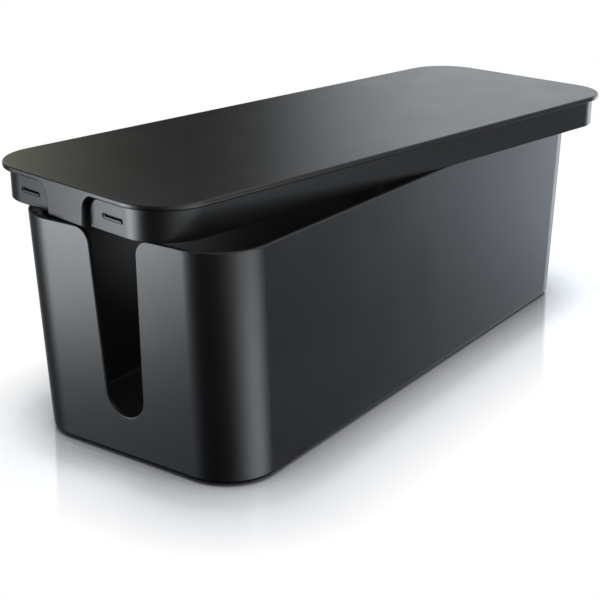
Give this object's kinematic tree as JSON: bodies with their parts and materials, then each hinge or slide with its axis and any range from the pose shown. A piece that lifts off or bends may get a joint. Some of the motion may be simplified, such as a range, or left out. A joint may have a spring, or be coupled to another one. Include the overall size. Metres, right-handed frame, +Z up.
{
  "type": "cable management box",
  "caption": "Long open tub with a U-shaped cable slot in each end and a lift-off lid with end tabs, lying askew on the rim.",
  "frame": {"origin": "on the surface that the box stands on, under the middle of the tub", "axes": "+X along the tub's length, from one cable slot to the other, +Y across it, +Z up"},
  "size_m": [0.4116, 0.2084, 0.1504],
  "materials": {
    "tub_plastic": "satin black moulded plastic with a fine even grain",
    "lid_plastic": "satin black moulded plastic, slightly smoother than the tub",
    "foot_rubber": "matte black rubber"
  },
  "bodies": {
    "tub": {"tub": "tub_plastic", "foot_front_left": "foot_rubber", "foot_front_right": "foot_rubber", "foot_rear_left": "foot_rubber", "foot_rear_right": "foot_rubber"},
    "lid": {"lid": "lid_plastic"}
  },
  "joints": [
    {"name": "lid_lift", "type": "slide", "parent": "tub", "child": "lid", "axis": [0, 0, 1], "range_m": [0, 0.15]}
  ]
}
